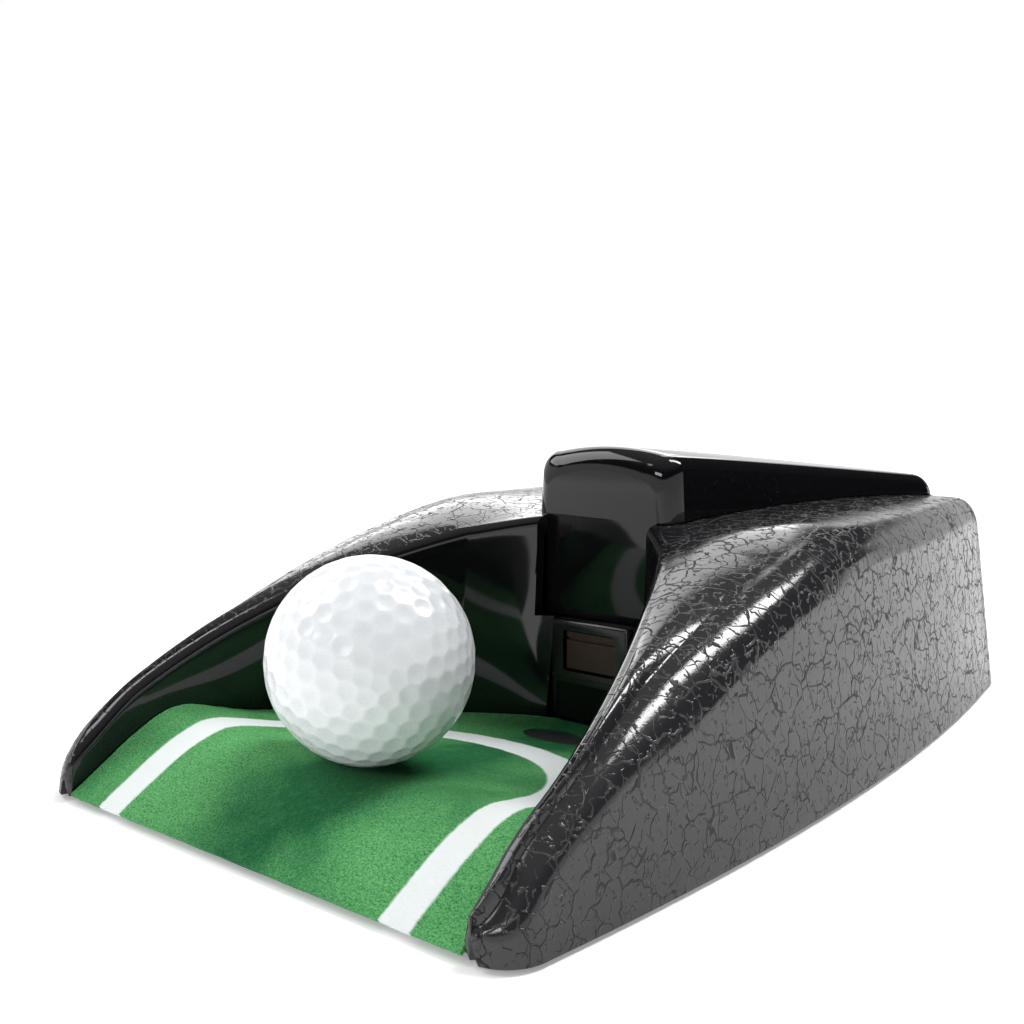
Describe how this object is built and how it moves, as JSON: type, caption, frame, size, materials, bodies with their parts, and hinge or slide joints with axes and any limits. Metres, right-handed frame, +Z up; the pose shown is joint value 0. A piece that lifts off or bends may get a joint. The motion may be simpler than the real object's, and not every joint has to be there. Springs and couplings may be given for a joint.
{
  "type": "practice putting cup with ball return",
  "caption": "Automatic practice putting cup: black textured horseshoe shell, green felt ramp, golf ball and a motor-driven ball kicker under a gloss hood",
  "frame": {"origin": "centre of the bounding box's bottom face, on the surface that the feet stand on", "axes": "+X right as seen from behind the ball, +Y from the open mouth to the rear wall, +Z up"},
  "size_m": [0.1432, 0.238, 0.0729],
  "materials": {
    "textured_abs": "black ABS with an irregular crackle leather grain, semi-gloss",
    "gloss_abs": "smooth high-gloss black ABS",
    "felt": "short-pile green putting felt with white printed stripes",
    "ball_white": "dimpled white cover under clear coat",
    "tray_abs": "fine spark-grained black ABS",
    "acetal": "natural moulded acetal",
    "steel": "bright drawn steel",
    "motor_steel": "zinc-plated drawn can",
    "red_abs": "dark red moulded ABS",
    "rubber": "soft matt rubber",
    "cell_jacket": "plain shrink-sleeve cell jacket"
  },
  "bodies": {
    "housing": {"outer_shell": "textured_abs", "hood_cover": "gloss_abs", "kicker_panel": "gloss_abs", "base_tray": "tray_abs", "putting_mat": "felt", "gear_plate_left": "tray_abs", "gear_plate_right": "tray_abs", "cam_axle": "steel", "idler_axle": "steel", "kick_motor": "motor_steel", "kicker_guide": "tray_abs", "kicker_spring": "steel", "micro_switch": "tray_abs", "trigger_pin": "steel", "trigger_spring": "steel", "contact_strip_left": "steel", "contact_strip_right": "steel", "dc_jack": "tray_abs", "battery_1": "cell_jacket", "battery_2": "cell_jacket", "battery_3": "cell_jacket", "battery_4": "cell_jacket", "rubber_foot_1": "rubber", "rubber_foot_2": "rubber", "rubber_foot_3": "rubber", "rubber_foot_4": "rubber", "base_screw_1": "steel", "base_screw_2": "steel", "base_screw_3": "steel", "base_screw_4": "steel", "base_screw_5": "steel", "base_screw_6": "steel"},
    "cam": {"cam_gear": "acetal"},
    "idler": {"idler_gear": "acetal"},
    "rotor": {"motor_pinion": "steel", "motor_shaft": "steel"},
    "ram": {"kicker_ram": "red_abs"},
    "trigger": {"trigger_lever": "tray_abs"},
    "button": {"switch_button": "red_abs"},
    "door": {"battery_door": "tray_abs"},
    "ball": {"golf_ball": "ball_white"}
  },
  "joints": [
    {"name": "kicker_slide", "type": "slide", "parent": "housing", "child": "ram", "axis": [0, -1, 0], "range_m": [-0.01, 0.014], "stiffness_N_per_m": 120, "deforming": ["kicker_spring"]},
    {"name": "trigger_rock", "type": "hinge", "parent": "housing", "child": "trigger", "pos_m": [0, -0.0045, 0.0034], "axis": [1, 0, 0], "range_deg": [0, 2.5], "stiffness_Nm_per_rad": 0.02, "springref_deg": -5.73, "deforming": ["trigger_spring"]},
    {"name": "button_press", "type": "slide", "parent": "housing", "child": "button", "axis": [0, 0, 1], "range_m": [0, 0.0006], "stiffness_N_per_m": 0.00616, "springref_m": 0.0196},
    {"name": "cam_turn", "type": "hinge", "parent": "housing", "child": "cam", "pos_m": [0, 0.021, 0.0475], "axis": [1, 0, 0], "continuous": true},
    {"name": "idler_turn", "type": "hinge", "parent": "housing", "child": "idler", "pos_m": [0, 0.04325, 0.0475], "axis": [1, 0, 0], "continuous": true},
    {"name": "motor_turn", "type": "hinge", "parent": "housing", "child": "rotor", "pos_m": [0, 0.05627, 0.03199], "axis": [1, 0, 0], "continuous": true},
    {"name": "door_release", "type": "slide", "parent": "housing", "child": "door", "axis": [0, 0, -1], "range_m": [0, 0.012]},
    {"name": "ball_roll", "type": "slide", "parent": "housing", "child": "ball", "axis": [0, 0.9895, -0.1445], "range_m": [0, 0.0385]}
  ],
  "couplings": [
    {"joint": "button_press", "follows": "trigger_rock", "m_per_rad": 0.0105},
    {"joint": "idler_turn", "follows": "cam_turn", "ratio": -3.4},
    {"joint": "motor_turn", "follows": "cam_turn", "ratio": 10.2}
  ]
}
